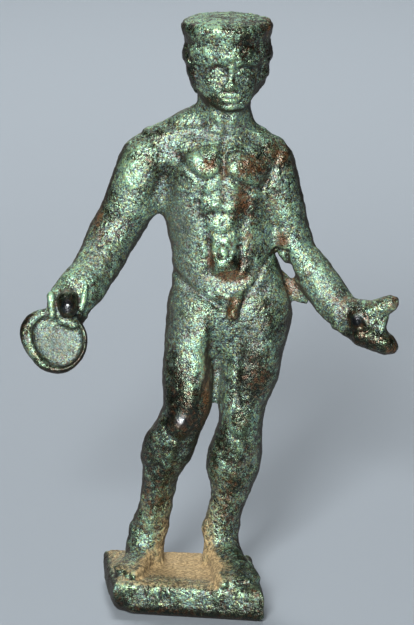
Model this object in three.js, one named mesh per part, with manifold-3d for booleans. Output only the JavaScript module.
// A small solid-cast bronze statuette of a nude youth in a drum-shaped cap, a dish in the right hand,
// standing on its own low base. Figure, dish and base are one casting, so they are one mesh.
// Millimetres, +Z up, the front faces -Y, the origin is the middle of the underside.
// "Right" and "left" are the figure's own, so the right hand is at -X.
import * as THREE from "three";
import { mergeVertices } from "three/addons/utils/BufferGeometryUtils.js";
import Module from "manifold-3d";

const HEIGHT = 96.4; // underside to the top of the cap
const BASE_THICKNESS = 5.7;
const BASE_CORNERS = [[-11.6, -8.3], [12.7, -12.9], [10.9, 6.9], [-13.6, 10.4]]; // x, y, from the right foot's toes
const BASE_RISE = 0.3; // the top climbs this much towards the back
const BASE_EDGE = 1.1; // how far the worn edges of the base are rounded off
const CAP_UNDERSIDE = 91.4;
const CAP_CENTRE = [6.6, 0.2];
const DISH_CENTRE = [-20.9, -9.3, 46.2];
const DISH_FACING = [0.04, -0.94, 0.34];
const DISH_RADIUS = 5.25;
const LIP = 0.95; // half the thickness of the dish at its rounded lip
const FLOOR_SHIFT = [0.8, -0.15]; // the floor lies off the middle, so the lip is wide at the upper left
const RIGHT_SHOULDER = [-4.5, 1.2, 76];
const RIGHT_ELBOW = [-11.7, 1.8, 60.4];
const RIGHT_WRIST = [-16.0, -5.0, 52.9];
const LEFT_SHOULDER = [12.3, 1.2, 75.6];
const LEFT_ELBOW = [17.4, 1.5, 58.5];
const LEFT_WRIST = [25.4, -4.6, 48.7];
const HEAD_TURN = THREE.MathUtils.degToRad(6); // towards the figure's left
const HEAD_AXIS = [6.7, 0.4];
const SOFT = 2.4; // radius of the blend where a limb grows out of the trunk
const FIRM = 0.7; // and where two forms only touch

const BRONZE = new THREE.MeshStandardMaterial({ color: 0x5d6f5c, roughness: 0.5, metalness: 0.45 });

const wasm = await Module();
wasm.setup();

const BACK = new THREE.Vector3(0, 1, 0);
const UP = new THREE.Vector3(0, 0, 1);

// A form is a stack of ovals carried along a straight axis. A row of `rows` is one oval:
// [distance along the axis, shift across, shift deep, half width, reach in front, reach behind].
// `deep` points to the back of the form, and `across` is square to it and to the axis.
// The form blends into the others by the radius `blend`, which falls to FIRM over the distance `fade`.
function form(from, to, rows, { deep = BACK, sides = 14, step = 1.5, blend = FIRM, fade = 0 } = {}) {
  const start = new THREE.Vector3(...from);
  const along = new THREE.Vector3(...to).sub(start).normalize();
  const behind = deep.clone().addScaledVector(along, -deep.dot(along)).normalize();
  const across = behind.clone().cross(along);
  return { start, along, across, behind, rows, sides, step, blend, fade };
}

// The same with a vertical axis through the origin: rows are [z, x, y, half width, front, back].
const upright = (rows, options) => form([0, 0, 0], [0, 0, 1], rows, options);

// The oval at distance s, by cubic pieces through the rows that never overshoot them.
function ovalAt({ rows }, s) {
  let i = 0;
  while (i < rows.length - 2 && s > rows[i + 1][0]) i++;
  const [a, b] = [rows[i], rows[i + 1]];
  const gap = b[0] - a[0];
  const t = THREE.MathUtils.clamp((s - a[0]) / gap, 0, 1);
  const slope = (p, q, c) => (rows[q][c] - rows[p][c]) / (rows[q][0] - rows[p][0]);
  const tangent = (k, c) => {
    if (k === 0) return slope(0, 1, c);
    if (k === rows.length - 1) return slope(k - 1, k, c);
    const [m, n] = [slope(k - 1, k, c), slope(k, k + 1, c)];
    return m * n <= 0 ? 0 : (2 * m * n) / (m + n);
  };
  const [t2, t3] = [t * t, t * t * t];
  return [1, 2, 3, 4, 5].map((c) =>
    (2 * t3 - 3 * t2 + 1) * a[c] + (t3 - 2 * t2 + t) * gap * tangent(i, c) +
    (3 * t2 - 2 * t3) * b[c] + (t3 - t2) * gap * tangent(i + 1, c));
}

// The form as a closed mesh: rings of points along the axis, and a fan at each end.
function loft(f) {
  const [first, last] = [f.rows[0][0], f.rows.at(-1)[0]];
  const rings = Math.max(4, Math.round((last - first) / f.step));
  const at = (s, u, v) => f.start.clone().addScaledVector(f.along, s).addScaledVector(f.across, u)
    .addScaledVector(f.behind, v);
  const points = [];
  for (let r = 0; r <= rings; r++) {
    const s = first + (last - first) * (0.5 - 0.5 * Math.cos((Math.PI * r) / rings)) * 0.35 +
      (last - first) * (r / rings) * 0.65; // rings stand closer at the two ends
    const [u, v, half, front, back] = ovalAt(f, s);
    for (let k = 0; k < f.sides; k++) {
      const turn = (2 * Math.PI * k) / f.sides;
      const reach = Math.sin(turn) < 0 ? front : back;
      points.push(at(s, u + half * Math.cos(turn), v + reach * Math.sin(turn)));
    }
  }
  const ends = [points.length, points.length + 1];
  for (const s of [first, last]) {
    const [u, v] = ovalAt(f, s);
    points.push(at(s, u, v));
  }
  const faces = [];
  const n = f.sides;
  for (let k = 0; k < n; k++) {
    const next = (k + 1) % n;
    for (let r = 0; r < rings; r++) {
      const [a, b, c, d] = [r * n + k, r * n + next, (r + 1) * n + next, (r + 1) * n + k];
      faces.push(a, b, c, a, c, d);
    }
    faces.push(ends[0], next, k, ends[1], rings * n + k, rings * n + next);
  }
  return new wasm.Manifold(new wasm.Mesh({
    numProp: 3,
    vertProperties: new Float32Array(points.flatMap((p) => p.toArray())),
    triVerts: new Uint32Array(faces),
  }));
}

// How far p is outside a form (negative inside): the distance past its oval, leaning with its wall.
// With it comes the radius by which the form blends there.
function outside(f, p) {
  const d = p.clone().sub(f.start);
  const [s, u, v] = [d.dot(f.along), d.dot(f.across), d.dot(f.behind)];
  const [first, last] = [f.rows[0][0], f.rows.at(-1)[0]];
  const past = Math.max(first - s, s - last);
  const gap = (at) => {
    const [cu, cv, half, front, back] = ovalAt(f, THREE.MathUtils.clamp(at, first, last));
    const [du, dv] = [u - cu, v - cv];
    const share = Math.hypot(du / half, dv / (dv < 0 ? front : back));
    return Math.hypot(du, dv) * (1 - 1 / Math.max(share, 1e-3));
  };
  const nudge = 0.2;
  const lean = (gap(s + nudge) - gap(s - nudge)) / (2 * nudge);
  const side = gap(s) / Math.hypot(1, lean);
  const distance = Math.min(Math.max(side, past), 0) + Math.hypot(Math.max(side, 0), Math.max(past, 0));
  const faded = f.fade ? THREE.MathUtils.clamp(s / f.fade, 0, 1) : 0;
  return [distance, THREE.MathUtils.lerp(f.blend, FIRM, faded)];
}

// Muscles, hollows and creases are soft bumps on the blended skin: [x, y, z, radii, height].
const mound = (x, y, z, rx, ry, rz, height) => ({ centre: [x, y, z], radii: [rx, ry, rz], height });

function torso() {
  return upright([
    [41.0, 7.0, 0.6, 2.4, 1.8, 2.2],
    [43.5, 7.0, 0.6, 6.6, 3.6, 4.6],
    [46.3, 7.0, 0.4, 9.0, 4.6, 5.8],
    [49.0, 7.2, 0.3, 9.5, 5.0, 6.2],
    [51.6, 7.1, 0.2, 9.4, 5.0, 6.0],
    [54.2, 6.8, 0.2, 8.9, 4.9, 5.1],
    [56.8, 6.3, 0.2, 8.45, 4.9, 4.3],
    [59.4, 5.85, 0.3, 8.2, 4.9, 3.9],
    [62.0, 5.4, 0.4, 8.3, 5.0, 3.9],
    [65.0, 5.2, 0.6, 8.7, 5.4, 4.2],
    [68.0, 5.4, 0.8, 8.8, 5.8, 4.6],
    [71.0, 5.4, 1.0, 9.1, 5.9, 4.9],
    [73.5, 5.3, 1.2, 9.3, 5.4, 4.8],
    [75.5, 5.1, 1.4, 9.0, 4.6, 4.4],
    [77.2, 3.4, 1.6, 9.0, 3.6, 3.8],
    [79.0, 3.8, 1.7, 7.1, 2.8, 3.1],
    [80.4, 4.4, 1.7, 5.6, 2.4, 2.7],
    [81.5, 5.2, 1.7, 4.0, 2.0, 2.3],
  ], { sides: 30, step: 1.7, blend: SOFT });
}

function neckAndHead() {
  const neck = form([5.8, 1.8, 75.5], [6.5, 0.5, 86], [
    [0, 0, 0, 4.6, 3.6, 3.8],
    [3.5, 0, 0, 4.4, 3.7, 3.9],
    [6.5, 0, 0, 4.2, 3.8, 4.1],
    [10.5, 0, 0, 4.4, 4.0, 4.4],
  ], { sides: 16, step: 1.6, blend: 1.6 });
  const turned = BACK.clone().applyAxisAngle(UP, HEAD_TURN);
  const skull = form([...HEAD_AXIS, 0], [...HEAD_AXIS, 1], [
    [81.7, 0, -3.6, 1.2, 1.2, 1.6],
    [82.5, 0, -3.2, 2.6, 2.2, 3.0],
    [84.0, 0, -1.6, 4.2, 4.1, 4.4],
    [86.0, 0, -0.6, 5.5, 5.1, 5.8],
    [88.0, 0, -0.1, 6.1, 5.6, 6.4],
    [90.0, 0, 0.0, 6.4, 5.9, 6.5],
    [92.0, 0, 0.0, 6.5, 6.1, 6.4],
    [94.4, 0, 0.0, 5.0, 5.0, 5.0],
  ], { deep: turned, sides: 30, step: 1.05, blend: 0.8 });
  return [neck, skull];
}

function rightLeg() {
  return upright([
    [52.5, 2.6, 0.2, 2.6, 3.0, 3.4],
    [49.5, 2.2, 0.0, 4.4, 4.7, 5.2],
    [46.5, 1.5, -0.3, 4.4, 4.9, 5.3],
    [43.8, 0.7, -0.6, 3.95, 4.8, 4.9],
    [41.2, 0.45, -1.1, 3.95, 4.6, 4.5],
    [38.7, 0.35, -1.6, 4.0, 4.5, 4.3],
    [36.2, 0.3, -2.1, 3.9, 4.3, 4.1],
    [33.8, 0.3, -2.6, 3.85, 4.0, 3.9],
    [31.2, -0.6, -2.9, 4.0, 3.9, 3.8],
    [28.5, -2.0, -2.6, 4.3, 3.5, 4.0],
    [25.6, -2.8, -1.8, 4.35, 3.2, 4.4],
    [22.6, -3.5, -0.8, 3.35, 3.0, 4.0],
    [19.6, -4.3, 0.2, 2.8, 2.7, 3.1],
    [16.6, -4.7, 1.0, 2.7, 2.5, 2.6],
    [13.7, -5.4, 1.6, 2.9, 2.5, 2.5],
    [10.9, -6.1, 2.1, 3.1, 2.6, 2.5],
    [8.0, -6.6, 2.4, 3.15, 2.9, 2.6],
    [4.6, -6.8, 2.4, 3.0, 3.2, 2.7],
  ].reverse(), { sides: 18, step: 1.85, blend: SOFT });
}

function leftLeg() {
  return upright([
    [53.0, 11.4, 0.8, 2.6, 3.0, 3.6],
    [50.0, 11.8, 0.7, 4.4, 4.5, 5.2],
    [46.5, 11.7, 0.6, 4.9, 5.2, 5.5],
    [43.6, 11.4, 0.5, 4.8, 5.2, 5.0],
    [40.9, 10.9, 0.4, 4.75, 5.0, 4.7],
    [38.2, 10.4, 0.2, 4.75, 4.8, 4.4],
    [35.6, 9.8, 0.2, 4.45, 4.5, 4.1],
    [32.9, 9.2, 0.2, 3.9, 4.1, 3.8],
    [30.2, 8.95, 0.3, 3.6, 3.9, 3.5],
    [27.5, 8.5, 0.6, 3.95, 3.6, 3.8],
    [24.7, 8.0, 1.1, 4.45, 3.5, 4.3],
    [22.0, 7.7, 1.4, 4.35, 3.3, 4.2],
    [19.2, 7.6, 1.7, 3.5, 3.0, 3.4],
    [16.4, 7.0, 2.0, 2.95, 2.7, 2.8],
    [13.6, 6.2, 2.2, 2.85, 2.5, 2.5],
    [10.8, 5.8, 2.3, 2.9, 2.5, 2.5],
    [8.0, 5.9, 2.2, 2.8, 2.9, 2.7],
    [4.6, 6.0, 2.0, 3.0, 3.2, 2.8],
  ].reverse(), { sides: 18, step: 1.85, blend: SOFT });
}

// A foot lies along the ground: `front` is its sole and `behind` its instep.
function foot(heel, toe, half) {
  const length = Math.hypot(toe[0] - heel[0], toe[1] - heel[1]);
  const shape = [
    [0.0, 0.45, 0.9, 1.0],
    [0.08, 0.8, 1.4, 2.2],
    [0.25, 0.9, 1.6, 3.6],
    [0.42, 0.86, 1.6, 3.2],
    [0.6, 0.95, 1.6, 2.3],
    [0.78, 1.05, 1.6, 1.7],
    [0.9, 1.0, 1.5, 1.3],
    [1.0, 0.5, 0.9, 0.7],
  ];
  const rows = shape.map(([share, wide, sole, instep]) => [share * length, 0, 0, wide * half, sole, instep]);
  return form([...heel, BASE_THICKNESS + 0.5], [...toe, BASE_THICKNESS + 0.5], rows,
    { deep: UP, sides: 14, step: 1.3, blend: 1.2 });
}

// Rows of an arm's form run down from its upper end: [distance, shift, half width, depth].
const limb = (from, to, rows, options) =>
  form(from, to, rows.map(([s, shift, half, depth]) => [s, shift, 0, half, depth, depth]), options);

function rightArm() {
  const upper = limb(RIGHT_SHOULDER, RIGHT_ELBOW, [
    [-1.5, -0.3, 0.8, 0.8],
    [-0.5, -0.3, 2.4, 2.2],
    [1.0, -0.2, 3.6, 3.2],
    [3.0, -0.05, 4.35, 3.9],
    [5.5, -0.1, 4.4, 4.1],
    [9.5, -0.3, 4.3, 4.0],
    [13.5, -0.4, 4.1, 3.7],
    [16.5, -0.15, 3.75, 3.5],
    [18.5, 0, 2.9, 3.0],
    [20.0, 0, 1.4, 1.5],
  ], { sides: 16, step: 1.9, blend: SOFT });
  const lower = limb(RIGHT_ELBOW, RIGHT_WRIST, [
    [-2.2, 0, 1.2, 1.2],
    [-1.0, 0, 2.5, 2.4],
    [1.0, 0, 3.3, 3.2],
    [4.0, -0.1, 3.75, 3.3],
    [7.5, 0.1, 3.6, 2.9],
    [10.8, 0.2, 3.2, 2.5],
    [12.4, 0, 2.1, 1.9],
  ], { sides: 16, step: 1.9, blend: SOFT });
  return [upper, lower];
}

function leftArm() {
  const upper = limb(LEFT_SHOULDER, LEFT_ELBOW, [
    [-1.6, 0, 0.7, 0.7],
    [-0.8, 0, 1.7, 1.7],
    [1.0, -0.2, 3.2, 3.0],
    [3.0, -0.4, 3.8, 3.7],
    [6.0, -0.35, 3.7, 3.8],
    [10.5, -0.25, 3.5, 3.6],
    [14.5, -0.1, 3.25, 3.4],
    [17.0, 0, 3.0, 3.2],
    [19.0, 0, 2.4, 2.7],
    [20.4, 0, 1.2, 1.3],
  ], { sides: 16, step: 1.9, blend: SOFT });
  const lower = limb(LEFT_ELBOW, LEFT_WRIST, [
    [-2.2, 0, 1.2, 1.2],
    [-1.0, -0.3, 2.1, 2.3],
    [1.5, -0.4, 2.5, 3.0],
    [5.0, -0.1, 3.15, 3.2],
    [9.0, 0, 3.15, 2.8],
    [12.5, 0, 2.9, 2.3],
    [14.2, 0, 2.3, 1.7],
  ], { sides: 16, step: 1.9, blend: SOFT, fade: 3 });
  return [upper, lower];
}

// A tapering round form between two points, such as a finger.
function finger(from, to, thick, thin, options) {
  const length = Math.hypot(...to.map((c, i) => c - from[i]));
  return limb(from, to, [
    [-thick * 0.9, 0, thick * 0.4, thick * 0.4],
    [0, 0, thick, thick],
    [length, 0, thin, thin],
    [length + thin * 0.9, 0, thin * 0.4, thin * 0.4],
  ], { sides: 8, step: 1.3, blend: 0.7, ...options });
}

// The palm grips the rim of the dish: fingers behind it, the thumb over its edge.
function rightHand() {
  const palm = limb([-15.6, -4.0, 54.2], [-19.4, -8.0, 49.6], [
    [0, 0.3, 3.0, 2.3],
    [2.5, 0.4, 3.5, 2.2],
    [5.0, 0.2, 3.6, 1.9],
    [7.0, 0, 3.2, 1.5],
    [8.2, 0, 2.1, 0.9],
  ], { sides: 14, step: 1.5, blend: 1.4 });
  const thumb = finger([-18.4, -8.7, 52.9], [-18.2, -10.4, 50.6], 1.55, 1.05, { blend: 0.3 });
  const fingers = [-22.6, -21.0, -19.4, -17.9].map((x, i) =>
    finger([x + 1.0, -7.4, 49.8], [x - 0.3, -7.2, 44.8 + 0.5 * Math.abs(i - 1)], 1.1, 0.95));
  return [palm, thumb, ...fingers];
}

// The open hand has lost what it held: a thumb stands up, and the fused fingers point down.
function leftHand() {
  const palm = form([24.4, -4.4, 49.3], [31.2, -7.4, 47.7], [
    [0, 0, 0, 2.6, 2.0, 2.0],
    [2.5, 0.2, 0, 3.2, 1.9, 1.7],
    [4.6, 0.3, 0, 3.6, 1.6, 1.5],
    [7.0, 0.2, 0, 3.3, 1.3, 1.3],
    [8.2, 0, 0, 1.8, 0.7, 0.7],
  ], { sides: 14, step: 1.5, blend: 1.2 });
  const thumb = finger([29.2, -6.4, 49.8], [32.7, -7.5, 51.6], 1.6, 1.3);
  const fingers = finger([28.2, -6.5, 46.7], [32.3, -7.7, 44.6], 2.4, 1.65);
  return [palm, thumb, fingers];
}

function genitals() {
  return finger([8.4, -4.9, 51.6], [7.6, -6.0, 49.4], 0.8, 1.15);
}

// What the founder left: a strut from hip to forearm, and a web of metal between the thighs.
function strutAndWeb() {
  const strut = form([14.6, 0.6, 53.0], [20.2, -0.6, 51.0], [
    [0, 0, 0, 2.0, 0.9, 0.9],
    [2.6, 0, 0, 1.7, 0.7, 0.7],
    [5.8, 0, 0, 1.7, 0.8, 0.8],
  ], { sides: 10, step: 1.6, blend: 0.8 });
  const web = upright([
    [33.6, 4.9, -0.2, 1.9, 0.6, 0.6],
    [38.0, 4.9, -0.2, 1.9, 0.7, 0.7],
    [45.0, 5.6, -0.2, 2.0, 0.9, 0.9],
  ], { sides: 8, step: 2.5, blend: 0.8 });
  return [strut, web];
}

// Hair stands out as a roll under the cap and over the ears, and falls to the nape.
function hair() {
  const turned = BACK.clone().applyAxisAngle(UP, HEAD_TURN);
  return [
    form([...HEAD_AXIS, 0], [...HEAD_AXIS, 1], [
      [88.6, 0, 0.9, 6.1, 5.2, 6.2],
      [89.8, 0, 0.4, 6.6, 6.2, 6.6],
      [91.0, 0, 0.2, 6.8, 6.6, 6.8],
      [92.2, 0, 0.2, 6.4, 6.3, 6.4],
    ], { deep: turned, sides: 20, step: 1.0, blend: 0.7 }),
    form([6.6, 4.0, 82.6], [6.6, 2.6, 90], [
      [0, 0, 0, 3.6, 1.6, 1.6],
      [2.0, 0, 0, 5.4, 3.2, 2.9],
      [5.0, 0, 0, 6.2, 4.0, 3.8],
      [7.4, 0, 0, 6.3, 4.2, 4.2],
    ], { sides: 18, step: 1.6, blend: 0.8 }),
  ];
}

// Broad muscles and hollows. Positive heights stand proud, negative ones are hollows.
function muscles() {
  return [
    mound(2.2, -4.6, 73.6, 3.2, 2.6, 2.2, 0.75), // chest muscle, right
    mound(9.4, -4.6, 73.4, 3.2, 2.6, 2.2, 0.75), // and left
    mound(6.0, -5.4, 73.0, 0.7, 2.0, 3.4, -0.35), // furrow between them
    mound(6.0, -5.4, 69.2, 4.2, 1.6, 1.0, -0.4), // under the chest
    mound(5.9, -5.0, 62.0, 2.6, 1.8, 5.0, 0.5), // belly wall
    mound(5.9, -5.6, 58.0, 2.0, 1.8, 2.2, 0.55), // belly round the navel
    mound(5.8, -6.2, 59.2, 0.75, 1.6, 0.75, -0.7), // navel
    mound(0.6, -3.8, 52.6, 2.2, 1.6, 1.0, -0.35), // groin, right
    mound(12.6, -3.8, 53.0, 2.2, 1.6, 1.0, -0.35), // and left
    mound(-4.4, 1.0, 65.2, 1.6, 2.4, 1.8, 0.25), // web of the right armpit
    mound(6.0, 5.6, 63.0, 0.9, 2.2, 12.0, -0.7), // furrow of the spine
    mound(1.4, 5.4, 70.5, 2.6, 1.8, 3.2, 0.6), // shoulder blades
    mound(10.0, 5.4, 70.5, 2.6, 1.8, 3.2, 0.6),
    mound(3.0, 5.8, 47.6, 3.0, 2.6, 3.0, 0.9), // buttocks
    mound(11.2, 6.0, 48.0, 3.2, 2.6, 3.0, 0.9),
    mound(7.1, 6.8, 46.8, 0.8, 2.4, 3.2, -1.1), // and the cleft between them
    mound(8.9, -3.4, 30.2, 1.9, 1.5, 1.9, 0.45), // kneecaps
    mound(-0.8, -6.6, 31.0, 1.9, 1.5, 1.9, 0.5),
    mound(8.9, 3.6, 29.6, 1.8, 1.2, 1.6, -0.3), // hollows of the knees
    mound(-0.6, 0.8, 30.4, 1.8, 1.2, 1.6, -0.3),
  ];
}

// The face is a plain calm one on school proportions, measured from the head's own axis.
function face() {
  const chin = 81.9;
  const crown = 94.2;
  const eyeLine = (chin + crown) / 2;
  const noseBase = eyeLine - (eyeLine - chin) * 0.42;
  const mouth = eyeLine - (eyeLine - chin) * 0.63;
  const front = -5.6;
  const feature = (x, y, z, rx, ry, rz, height) => {
    const p = new THREE.Vector3(x, front + y, z).applyAxisAngle(UP, HEAD_TURN);
    return mound(HEAD_AXIS[0] + p.x, HEAD_AXIS[1] + p.y, p.z, rx, ry, rz, height);
  };
  return [
    feature(-2.2, 0.2, eyeLine, 1.3, 1.3, 0.9, -0.8),
    feature(2.2, 0.2, eyeLine, 1.3, 1.3, 0.9, -0.8),
    feature(0, -0.4, eyeLine - 0.7, 0.65, 1.4, 1.5, 0.6),
    feature(0, -0.6, noseBase + 0.5, 0.95, 1.3, 0.8, 1.1),
    feature(0, 0.2, mouth, 1.5, 1.2, 0.3, -0.45),
    feature(0, 0.6, chin + 0.9, 1.5, 1.3, 0.9, 0.35),
  ];
}

const FORMS = [
  torso(), ...neckAndHead(), rightLeg(), leftLeg(),
  foot([-5.6, 4.6], [-9.9, -6.0], 2.7), foot([5.4, 4.8], [8.9, -10.6], 3.5),
  ...rightArm(), ...leftArm(), ...rightHand(), ...leftHand(),
  genitals(), ...strutAndWeb(), ...hair(),
];
const MOUNDS = [...muscles(), ...face()];

// The blended skin: the forms joined with a soft fillet at every meeting, then the mounds.
function skin(p) {
  let field = 20;
  for (const f of FORMS) {
    const [next, blend] = outside(f, p);
    const overlap = Math.max(blend - Math.abs(field - next), 0) / blend;
    field = Math.min(field, next) - overlap * overlap * blend / 4;
  }
  for (const { centre, radii, height } of MOUNDS) {
    const [dx, dy, dz] = ["x", "y", "z"].map((c, i) => (p[c] - centre[i]) / radii[i]);
    field -= height * Math.exp(-(dx * dx + dy * dy + dz * dz));
  }
  return field;
}

// Moves the points of a joined mesh onto the blended skin, and evens them out along it.
function settle(solid) {
  const { vertProperties, triVerts, numVert } = solid.getMesh();
  const points = Array.from({ length: numVert }, (_, i) => new THREE.Vector3().fromArray(vertProperties, i * 3));
  const neighbours = points.map(() => new Set());
  for (let i = 0; i < triVerts.length; i += 3)
    for (let k = 0; k < 3; k++) neighbours[triVerts[i + k]].add(triVerts[i + ((k + 1) % 3)]);
  const nudge = 0.05;
  const slopeAt = (p) => new THREE.Vector3(...["x", "y", "z"].map((c) => {
    const q = p.clone();
    q[c] += nudge;
    const r = p.clone();
    r[c] -= nudge;
    return (skin(q) - skin(r)) / (2 * nudge);
  }));
  const rounds = 4;
  for (let round = 0; round < rounds; round++) {
    const means = points.map((p, i) => {
      const mean = new THREE.Vector3();
      for (const n of neighbours[i]) mean.add(points[n]);
      return mean.divideScalar(neighbours[i].size);
    });
    points.forEach((p, i) => {
      const slope = slopeAt(p);
      const steep = Math.max(slope.length(), 0.3);
      const normal = slope.clone().divideScalar(steep);
      const glide = means[i].sub(p);
      glide.addScaledVector(normal, -glide.dot(normal));
      p.addScaledVector(glide, round < rounds - 1 ? 0.5 : 0).addScaledVector(normal, -skin(p) / steep);
    });
  }
  return new wasm.Manifold(new wasm.Mesh({
    numProp: 3,
    vertProperties: new Float32Array(points.flatMap((p) => p.toArray())),
    triVerts,
  }));
}

// A three.js geometry as a solid.
function solidOf(geometry) {
  const bare = geometry.clone();
  bare.deleteAttribute("normal");
  bare.deleteAttribute("uv");
  const merged = mergeVertices(bare, 1e-3);
  return new wasm.Manifold(new wasm.Mesh({
    numProp: 3,
    vertProperties: merged.attributes.position.array,
    triVerts: new Uint32Array(merged.index.array),
  }));
}

// How much the dish's radius is stretched at an angle from its side axis: its outline is an egg.
const egg = (a) => 1.0 + 0.041 * Math.cos(a) - 0.036 * Math.sin(a) + 0.013 * Math.cos(2 * a)
  - 0.067 * Math.sin(2 * a) + 0.032 * Math.sin(3 * a);

// A shallow bowl turned from its section: an outer wall, a rounded lip and a flat floor.
function dish() {
  const section = [new THREE.Vector2(0, -LIP), new THREE.Vector2(DISH_RADIUS - 2 * LIP, -LIP)];
  const arc = 5;
  const half = 0.65 * LIP;
  for (let i = 0; i <= arc; i++) {
    const turn = -Math.PI / 2 + (1.25 * Math.PI * i) / arc;
    section.push(new THREE.Vector2(DISH_RADIUS - half + half * Math.cos(turn), LIP * Math.sin(turn)));
  }
  section.push(new THREE.Vector2(DISH_RADIUS - 1.25 * LIP, 0.1), new THREE.Vector2(DISH_RADIUS - 1.9 * LIP, -0.35));
  section.push(new THREE.Vector2(0, -0.45));
  const bowl = new THREE.LatheGeometry(section, 24);
  const points = bowl.attributes.position;
  for (let i = 0; i < points.count; i++) {
    const [x, z] = [points.getX(i), points.getZ(i)];
    const inner = THREE.MathUtils.clamp((1 - Math.hypot(x, z) / DISH_RADIUS) / 0.22, 0, 1);
    const swell = egg(Math.atan2(x, z));
    points.setX(i, x * swell + FLOOR_SHIFT[1] * inner);
    points.setZ(i, z * swell + FLOOR_SHIFT[0] * inner);
  }
  const facing = new THREE.Vector3(...DISH_FACING).normalize();
  const side = UP.clone().cross(facing).normalize();
  const other = facing.clone().cross(side);
  bowl.applyMatrix4(new THREE.Matrix4().makeBasis(other, facing, side).setPosition(...DISH_CENTRE));
  return solidOf(bowl);
}

// The drum-shaped cap: straight below, swelling to a worn roll round the rim, with a domed top.
function cap() {
  const section = [
    [0, CAP_UNDERSIDE], [6.2, CAP_UNDERSIDE], [6.4, 92.0], [6.75, 92.8], [7.05, 93.6], [7.3, 94.4],
    [7.2, 95.0], [6.75, 95.5], [5.8, 95.85], [4.0, 96.15], [0, HEIGHT],
  ].map(([r, z]) => new THREE.Vector2(r, z));
  const drum = new THREE.LatheGeometry(section, 26).rotateX(Math.PI / 2);
  drum.translate(...CAP_CENTRE, 0);
  return solidOf(drum);
}

function base() {
  const shape = new THREE.Shape(BASE_CORNERS.map(([x, y]) => new THREE.Vector2(
    x - Math.sign(x) * BASE_EDGE, y - Math.sign(y) * BASE_EDGE)));
  const block = new THREE.ExtrudeGeometry(shape, {
    depth: BASE_THICKNESS - 2 * BASE_EDGE, bevelThickness: BASE_EDGE, bevelSize: BASE_EDGE, bevelSegments: 2,
  }).translate(0, 0, BASE_EDGE);
  const points = block.attributes.position;
  for (let i = 0; i < points.count; i++) {
    const rise = BASE_RISE * THREE.MathUtils.clamp((points.getY(i) + 8) / 16, 0, 1);
    points.setZ(i, points.getZ(i) * (1 + rise / BASE_THICKNESS));
  }
  return solidOf(block);
}

function statuette() {
  const figure = settle(FORMS.map(loft).reduce((all, one) => all.add(one)));
  const cast = [dish(), cap(), base()].reduce((all, one) => all.add(one), figure).getMesh();
  const geometry = new THREE.BufferGeometry()
    .setAttribute("position", new THREE.BufferAttribute(cast.vertProperties, 3))
    .setIndex(new THREE.BufferAttribute(cast.triVerts, 1));
  geometry.computeVertexNormals();
  const mesh = new THREE.Mesh(geometry, BRONZE);
  mesh.name = "statuette";
  return mesh;
}

const group = new THREE.Group();
group.name = "bronze_statuette";
group.add(statuette());
export default group;
